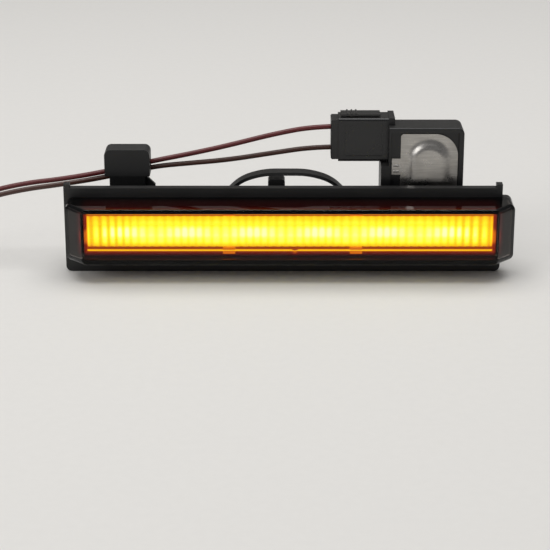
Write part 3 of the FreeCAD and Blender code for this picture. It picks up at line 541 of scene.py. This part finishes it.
# %% [markdown]
# Above and below the bar the same moulding has a dim web and a thin rail. The lower rail catches the light well and
# the upper one hardly, so the glow there is set by height. In the nick the rail's bright edge starts lower, which
# bends the line down.

# %% Web and rails
RAIL_INSIDE = 0.00605
RAIL_MARGIN = 0.00002
NICK_DEPTH = 0.0003
WEB_GLOW = 0.31

rail_glow = add_node(
    amber, "ShaderNodeMapRange", {"interpolation_type": "SMOOTHSTEP"},
    {FROM_LOW: -0.001, FROM_HIGH: 0.001, TO_LOW: 0.35, TO_HIGH: 0.19}, {0: height.outputs[0]},
)
off_lens_middle = add_node(
    amber, "ShaderNodeMath", {"operation": "SUBTRACT"}, {1: LENS_MIDDLE_Z}, {0: where.outputs["Z"]},
)
off_rails = add_node(amber, "ShaderNodeMath", {"operation": "ABSOLUTE"}, links={0: off_lens_middle.outputs[0]})
rail_edge = add_node(
    amber, "ShaderNodeMath", {"operation": "MULTIPLY_ADD"}, {1: NICK_DEPTH, 2: RAIL_INSIDE - RAIL_MARGIN},
    {0: in_nick(amber, where).outputs[0]},
)
on_rail = add_node(
    amber, "ShaderNodeMath", {"operation": "GREATER_THAN"}, links={0: off_rails.outputs[0], 1: rail_edge.outputs[0]},
)
outside_glow = add_node(
    amber, "ShaderNodeMath", {"operation": "MULTIPLY_ADD"}, {2: WEB_GLOW},
    {0: rail_glow.outputs[0], 1: on_rail.outputs[0]},
)
print("rails start", round(1000 * RAIL_INSIDE, 2), "mm from the lens's middle")

# %% [markdown]
# Two snap tabs stand in front of the lower rail. They are dim orange, and the rail's bright line runs on across them.
# A Compare node answers 1 close to a tab's middle and 0 elsewhere, so the sum of two of them marks both tabs.

# %% Snap tabs
LEFT_TAB_X = SHIFT_X - 0.0202
RIGHT_TAB_X = SHIFT_X + 0.0220
TAB_HALF_WIDTH = 0.00205
TAB_LINE_Z = 0.01036
TAB_LINE_HALF_HEIGHT = 0.00018
TAB_GLOW = 0.46
TAB_LINE_GLOW = 0.20

on_left_tab, on_right_tab = [
    add_node(
        amber, "ShaderNodeMath", {"operation": "COMPARE"}, {1: middle, 2: TAB_HALF_WIDTH}, {0: where.outputs["X"]},
    )
    for middle in (LEFT_TAB_X, RIGHT_TAB_X)
]
on_tab = add_node(
    amber, "ShaderNodeMath", {"operation": "ADD"}, links={0: on_left_tab.outputs[0], 1: on_right_tab.outputs[0]},
)
tab_line = add_node(
    amber, "ShaderNodeMath", {"operation": "COMPARE"}, {1: TAB_LINE_Z, 2: TAB_LINE_HALF_HEIGHT},
    {0: where.outputs["Z"]},
)
tab_glow = add_node(
    amber, "ShaderNodeMath", {"operation": "MULTIPLY_ADD"}, {1: TAB_LINE_GLOW, 2: TAB_GLOW},
    {0: tab_line.outputs[0]},
)
beyond_glow = add_node(
    amber, "ShaderNodeMix", {"data_type": "FLOAT"},
    links={0: on_tab.outputs[0], FIRST_NUMBER: outside_glow.outputs[0], SECOND_NUMBER: tab_glow.outputs[0]},
)
print("tabs at", round(1000 * LEFT_TAB_X, 1), "and", round(1000 * RIGHT_TAB_X, 1), "mm")

# %% [markdown]
# The glow, from 0 to 1, picks its colour on a ramp: dark red where little light arrives, then amber, and a pale yellow
# at the patches. The colour goes to the emission of an amber acrylic.

# %% Colour of the glow
GLOW_STRENGTH = 4.7

outside = add_node(
    amber, "ShaderNodeMath", {"operation": "GREATER_THAN"}, {1: BAR_HALF_HEIGHT}, {0: off_middle.outputs[0]},
)
glow = add_node(
    amber, "ShaderNodeMix", {"data_type": "FLOAT"},
    links={0: outside.outputs[0], FIRST_NUMBER: bar_glow.outputs[0], SECOND_NUMBER: beyond_glow.outputs[0]},
)
ramp = add_node(amber, "ShaderNodeValToRGB", links={0: glow.outputs[0]})
stops = [
    (0.0, "#1A0000"), (0.25, "#5E0A00"), (0.45, "#B85A06"), (0.62, "#E8AC10"), (0.76, "#E6D010"),
    (0.88, "#F1F830"), (0.94, "#F1FC6A"), (1.0, "#F0FCB8"),
]
fill_ramp(ramp, [(position, colour(tint)) for position, tint in stops])
bar = add_node(
    amber, "ShaderNodeBsdfPrincipled",
    values={"Base Color": colour("#7A4A08"), "Roughness": 0.18, "IOR": 1.49, "Emission Strength": GLOW_STRENGTH},
    links={"Emission Color": ramp.outputs["Color"]},
)
add_node(amber, "ShaderNodeOutputMaterial", links={"Surface": bar.outputs[0]})
wear(amber, "optic")

# %% [markdown]
# ## Light on the bezel
# The light that spills on to the bezel's lips is painted there as emission. Along the rails it is a thin red rim of
# painted glow, which fades within two millimetres, and it is brighter in the nick. The same measures as on the bar give
# the place.

# %% Painted red glow on the lips
RIM_START = 0.0064
RIM_END = 0.0080
SPILL_LENGTH = 0.0029

lip_place = add_node(polished_and_painted_glow, "ShaderNodeTexCoord")
lip_where = add_node(polished_and_painted_glow, "ShaderNodeSeparateXYZ", links={0: lip_place.outputs["Object"]})
from_middle = add_node(
    polished_and_painted_glow, "ShaderNodeMath", {"operation": "SUBTRACT"}, {1: SHIFT_X}, {0: lip_where.outputs["X"]},
)
lip_reach = add_node(polished_and_painted_glow, "ShaderNodeMath", {"operation": "ABSOLUTE"}, links={0: from_middle.outputs[0]})
past_end = add_node(
    polished_and_painted_glow, "ShaderNodeMapRange", {"interpolation_type": "SMOOTHSTEP"},
    {FROM_LOW: BAR_END - 0.0001, FROM_HIGH: BAR_END + SPILL_LENGTH, TO_LOW: 1.0, TO_HIGH: 0.0},
    {0: lip_reach.outputs[0]},
)
from_lens = add_node(
    polished_and_painted_glow, "ShaderNodeMath", {"operation": "SUBTRACT"}, {1: LENS_MIDDLE_Z}, {0: lip_where.outputs["Z"]},
)
off_lens = add_node(polished_and_painted_glow, "ShaderNodeMath", {"operation": "ABSOLUTE"}, links={0: from_lens.outputs[0]})
rim = add_node(
    polished_and_painted_glow, "ShaderNodeMapRange", values={FROM_LOW: RIM_START, FROM_HIGH: RIM_END, TO_LOW: 0.40, TO_HIGH: 0.0},
    links={0: off_lens.outputs[0]},
)
rim_part = add_node(
    polished_and_painted_glow, "ShaderNodeMath", {"operation": "MULTIPLY"}, links={0: past_end.outputs[0], 1: rim.outputs[0]},
)
rim_and_nick = add_node(
    polished_and_painted_glow, "ShaderNodeMath", {"operation": "MULTIPLY_ADD"},
    links={0: rim_part.outputs[0], 1: in_nick(polished_and_painted_glow, lip_where).outputs[0], 2: rim_part.outputs[0]},
)
print("rim fades out", round(1000 * RIM_END, 1), "mm from the lens's middle")

# %% [markdown]
# Beside each end of the bar a painted orange glint stands on the bezel, a little below the bar's middle. The stronger
# of rim and glint picks its colour on a ramp, and the colour goes to the emission of the bezel's own finish.

# %% Painted glints beside the ends
GLINT_Z = 0.0150

from_glint = add_node(
    polished_and_painted_glow, "ShaderNodeMath", {"operation": "SUBTRACT"}, {1: GLINT_Z}, {0: lip_where.outputs["Z"]},
)
off_glint = add_node(polished_and_painted_glow, "ShaderNodeMath", {"operation": "ABSOLUTE"}, links={0: from_glint.outputs[0]})
beside = add_node(
    polished_and_painted_glow, "ShaderNodeMapRange", {"interpolation_type": "SMOOTHSTEP"},
    {FROM_LOW: 0.0010, FROM_HIGH: 0.0048, TO_LOW: 0.80, TO_HIGH: 0.0}, {0: off_glint.outputs[0]},
)
glint = add_node(
    polished_and_painted_glow, "ShaderNodeMath", {"operation": "MULTIPLY"}, links={0: past_end.outputs[0], 1: beside.outputs[0]},
)
spill = add_node(
    polished_and_painted_glow, "ShaderNodeMath", {"operation": "MAXIMUM"}, links={0: glint.outputs[0], 1: rim_and_nick.outputs[0]},
)
spill_ramp = add_node(polished_and_painted_glow, "ShaderNodeValToRGB", links={0: spill.outputs[0]})
fill_ramp(spill_ramp, [
    (0.0, colour("#000000")), (0.20, colour("#3C0200")), (0.40, colour("#7C1E02")), (0.80, colour("#C86A0C")),
])
lip = polished_and_painted_glow.node_tree.nodes["Principled BSDF"]
lip.inputs["Emission Strength"].default_value = GLOW_STRENGTH
polished_and_painted_glow.node_tree.links.new(spill_ramp.outputs["Color"], lip.inputs["Emission Color"])
print("glints at a height of", round(1000 * GLINT_Z, 1), "mm")

# %% [markdown]
# ## Spring steel and other metals
# The leaf is blanked from rolled spring strip, so its bright skin carries long fine lines along the rolling direction.
# A noise that is stretched along the strip gives both the lines and their uneven gloss. Real rolling lines are finer
# than a tenth of a millimetre, so they are drawn coarser to show.

# %% Rolled skin
SMEAR_MM = 6.0


def rolled_metal(name, dark, light, line_mm, stretch, rough_low, rough_high):
    finish = new_finish(name)
    place = add_node(finish, "ShaderNodeTexCoord")
    drawn = add_node(
        finish, "ShaderNodeMapping", values={"Scale": (1.0 / stretch, 1.0, 1.0)},
        links={"Vector": place.outputs["Object"]},
    )
    lines = add_node(
        finish, "ShaderNodeTexNoise", values={"Scale": per_metre(line_mm), "Detail": 5.0},
        links={"Vector": drawn.outputs[0]},
    )
    smear = add_node(
        finish, "ShaderNodeTexNoise", values={"Scale": per_metre(SMEAR_MM), "Detail": 3.0},
        links={"Vector": place.outputs["Object"]},
    )
    tone = add_node(
        finish, "ShaderNodeMix", {"data_type": "RGBA"}, {FIRST_TONE: colour(dark), SECOND_TONE: colour(light)},
        {0: lines.outputs["Fac"]},
    )
    gloss = add_node(
        finish, "ShaderNodeMapRange", values={FROM_LOW: 0.35, FROM_HIGH: 0.65, TO_LOW: rough_low, TO_HIGH: rough_high},
        links={0: smear.outputs["Fac"]},
    )
    relief = add_node(
        finish, "ShaderNodeBump", values={"Strength": 0.3, "Distance": 0.00001},
        links={"Height": lines.outputs["Fac"]},
    )
    surface = add_node(
        finish, "ShaderNodeBsdfPrincipled", values={"Metallic": 1.0},
        links={
            "Base Color": tone.outputs[MIXED_TONE], "Roughness": gloss.outputs[0], "Normal": relief.outputs["Normal"],
        },
    )
    add_node(finish, "ShaderNodeOutputMaterial", links={"Surface": surface.outputs[0]})
    return finish


# %% [markdown]
# The same function serves every metal piece, with its own tones, line width, stretch and gloss.

# %% Metals
# Rolled spring steel: grey, bright, with long lines.
wear(rolled_metal("rolled_spring_steel", "#8B8884", "#C4C1BC", 0.5, 14.0, 0.26, 0.40), "spring_leaf")
# Tinned brass of the blades and terminals: warm and a little dull.
wear(rolled_metal("tin_plated_brass", "#A79C82", "#C4B99C", 0.4, 6.0, 0.25, 0.40), "connector_blades", "plug_terminals")
# Zinc-plated screws.
wear(rolled_metal("zinc_plate", "#9A9C9C", "#BFC2C3", 0.3, 2.0, 0.25, 0.38), "board_screws")
# Tinned copper strands: silver over copper, so slightly warm.
wear(rolled_metal("tin_plated_copper", "#A58C77", "#CDBBA8", 0.2, 5.0, 0.22, 0.36), "upper_strands", "lower_strands")

# %% [markdown]
# ## Wire sleeves
# The sleeves are thin extruded PVC. Extrusion leaves faint lines along the wire, drawn coarser here to show, and
# handling leaves a soft uneven sheen. One sleeve is a deep red and the other a dark brown.

# %% Wire sleeves
SLEEVE_LINE_MM = 0.5
SHEEN_MM = 5.0


def extruded_sleeve(name, dark, light):
    finish = new_finish(name)
    place = add_node(finish, "ShaderNodeTexCoord")
    drawn = add_node(
        finish, "ShaderNodeMapping", values={"Scale": (0.12, 1.0, 1.0)}, links={"Vector": place.outputs["Object"]},
    )
    lines = add_node(
        finish, "ShaderNodeTexNoise", values={"Scale": per_metre(SLEEVE_LINE_MM), "Detail": 3.0},
        links={"Vector": drawn.outputs[0]},
    )
    sheen = add_node(
        finish, "ShaderNodeTexNoise", values={"Scale": per_metre(SHEEN_MM), "Detail": 3.0},
        links={"Vector": place.outputs["Object"]},
    )
    tone = add_node(
        finish, "ShaderNodeMix", {"data_type": "RGBA"}, {FIRST_TONE: colour(dark), SECOND_TONE: colour(light)},
        {0: sheen.outputs["Fac"]},
    )
    gloss = add_node(
        finish, "ShaderNodeMapRange", values={FROM_LOW: 0.35, FROM_HIGH: 0.65, TO_LOW: 0.28, TO_HIGH: 0.42},
        links={0: sheen.outputs["Fac"]},
    )
    relief = add_node(
        finish, "ShaderNodeBump", values={"Strength": 0.4, "Distance": 0.00002},
        links={"Height": lines.outputs["Fac"]},
    )
    surface = add_node(
        finish, "ShaderNodeBsdfPrincipled", values={"IOR": 1.53},
        links={
            "Base Color": tone.outputs[MIXED_TONE], "Roughness": gloss.outputs[0], "Normal": relief.outputs["Normal"],
        },
    )
    add_node(finish, "ShaderNodeOutputMaterial", links={"Surface": surface.outputs[0]})
    return finish


wear(extruded_sleeve("red_pvc_sleeve", "#4A0E0F", "#641617"), "red_wire")
wear(extruded_sleeve("brown_pvc_sleeve", "#33180F", "#472415"), "brown_wire")

# %% [markdown]
# ## Foam gasket
# The gasket on the back of the plate is die-cut foam. Its cut face is full of small pores, so a cell pattern gives the
# dimples. Real pores are about half a millimetre wide, and they are drawn a little wider to show.

# %% Foam gasket
PORE_MM = 0.7

foam = new_finish("die_cut_foam")
place = add_node(foam, "ShaderNodeTexCoord")
pores = add_node(
    foam, "ShaderNodeTexVoronoi", values={"Scale": per_metre(PORE_MM)}, links={"Vector": place.outputs["Object"]},
)
# The same cells paint each pore darker towards its middle, a painted shade in the dimple.
tone = add_node(
    foam, "ShaderNodeMix", {"data_type": "RGBA"}, {FIRST_TONE: colour("#1C1D1F"), SECOND_TONE: colour("#3A3B3D")},
    {0: pores.outputs["Distance"]},
)
dimples = add_node(
    foam, "ShaderNodeBump", values={"Strength": 0.7, "Distance": 0.00015}, links={"Height": pores.outputs["Distance"]},
)
surface = add_node(
    foam, "ShaderNodeBsdfPrincipled", values={"Roughness": 0.85},
    links={"Base Color": tone.outputs[MIXED_TONE], "Normal": dimples.outputs["Normal"]},
)
add_node(foam, "ShaderNodeOutputMaterial", links={"Surface": surface.outputs[0]})
wear(foam, "gasket")

# %% [markdown]
# ## Electronics
# The board and what sits on it are hidden behind the bar, but the part may be opened, so each has its own finish:
# a green solder mask, ceramic resistors, a resin diode and yellow phosphor on the light sources. All of them are
# smooth moulded or coated skins, so the function for moulded plastics serves here too.

# %% Electronics
wear(moulded_plastic("solder_mask", "#0E3B22", "#14512F", 0.9, 0.25, 0.35, 0.010, dust_share=0.0), "circuit_board")
wear(moulded_plastic("fired_ceramic", "#1A1A1C", "#2A2A2D", 0.3, 0.35, 0.50, 0.010, dust_share=0.0), "resistors")
wear(moulded_plastic("epoxy_resin", "#121214", "#1F1F22", 0.4, 0.45, 0.60, 0.012, dust_share=0.0), "diode")
wear(moulded_plastic("phosphor_resin", "#D9A21B", "#F0C23A", 0.3, 0.30, 0.45, 0.006, dust_share=0.0), "light_sources")

# %% [markdown]
# ## Floor and light
# The lamp stands on a plain pale floor that turns up into a backdrop, as on a photographer's table. A plane makes the
# floor, and its rear edge is extruded upwards for the backdrop.

# %% Floor
FLOOR_SIZE = 6.0
BACKDROP_HEIGHT = 3.0
REAR = FLOOR_SIZE / 2 - 0.1

bpy.ops.object.select_all(action="DESELECT")
bpy.ops.mesh.primitive_plane_add(size=FLOOR_SIZE, location=(0, 0, 0))
floor = bpy.context.object
floor.name = "floor"
bpy.ops.object.mode_set(mode="EDIT")
bpy.ops.mesh.select_all(action="DESELECT")
bpy.ops.object.mode_set(mode="OBJECT")
for edge in floor.data.edges:
    edge.select = all(floor.data.vertices[v].co.y > REAR for v in edge.vertices)
bpy.ops.object.mode_set(mode="EDIT")
bpy.ops.mesh.extrude_region_move(TRANSFORM_OT_translate={"value": (0, 0, BACKDROP_HEIGHT)})
bpy.ops.object.mode_set(mode="OBJECT")
print("floor and backdrop faces:", len(floor.data.polygons))

# %% [markdown]
# The floor is matt paper. Its fibres show as a very faint cloud of two near tones.

# %% Paper of the floor
FIBRE_MM = 3.0

paper = new_finish("pale_paper")
place = add_node(paper, "ShaderNodeTexCoord")
fibre = add_node(
    paper, "ShaderNodeTexNoise", values={"Scale": per_metre(FIBRE_MM), "Detail": 4.0},
    links={"Vector": place.outputs["Object"]},
)
tone = add_node(
    paper, "ShaderNodeMix", {"data_type": "RGBA"}, {FIRST_TONE: colour("#D6D4D0"), SECOND_TONE: colour("#DAD8D4")},
    {0: fibre.outputs["Fac"]},
)
surface = add_node(
    paper, "ShaderNodeBsdfPrincipled", values={"Roughness": 0.9}, links={"Base Color": tone.outputs[MIXED_TONE]},
)
add_node(paper, "ShaderNodeOutputMaterial", links={"Surface": surface.outputs[0]})
floor.data.materials.append(paper)
print(paper.name, "on", floor.name)

# %% [markdown]
# Two large soft boxes give broad, quiet highlights along the edges, so that the black mouldings can be told from each
# other, and a pale surrounding fills the shadows.

# %% Lights
def soft_box(name, place, turn, size, power):
    bpy.ops.object.light_add(type="AREA", location=place, rotation=[math.radians(a) for a in turn])
    lamp = bpy.context.object
    lamp.name = name
    lamp.data.shape = "RECTANGLE"
    lamp.data.size = size[0]
    lamp.data.size_y = size[1]
    lamp.data.energy = power
    print(name, power, "W")


soft_box("overhead_box", (0.0, 0.1, 1.1), (0, 0, 0), (1.4, 1.0), 12.5)
soft_box("left_box", (-0.9, -0.8, 0.7), (60, 0, -48), (0.8, 0.6), 5.0)

world = bpy.data.worlds.new("studio")
world.use_nodes = True
world.node_tree.nodes["Background"].inputs["Color"].default_value = colour("#E8E8EA")
world.node_tree.nodes["Background"].inputs["Strength"].default_value = 0.30
bpy.context.scene.world = world
bpy.context.scene.view_settings.view_transform = "Standard"
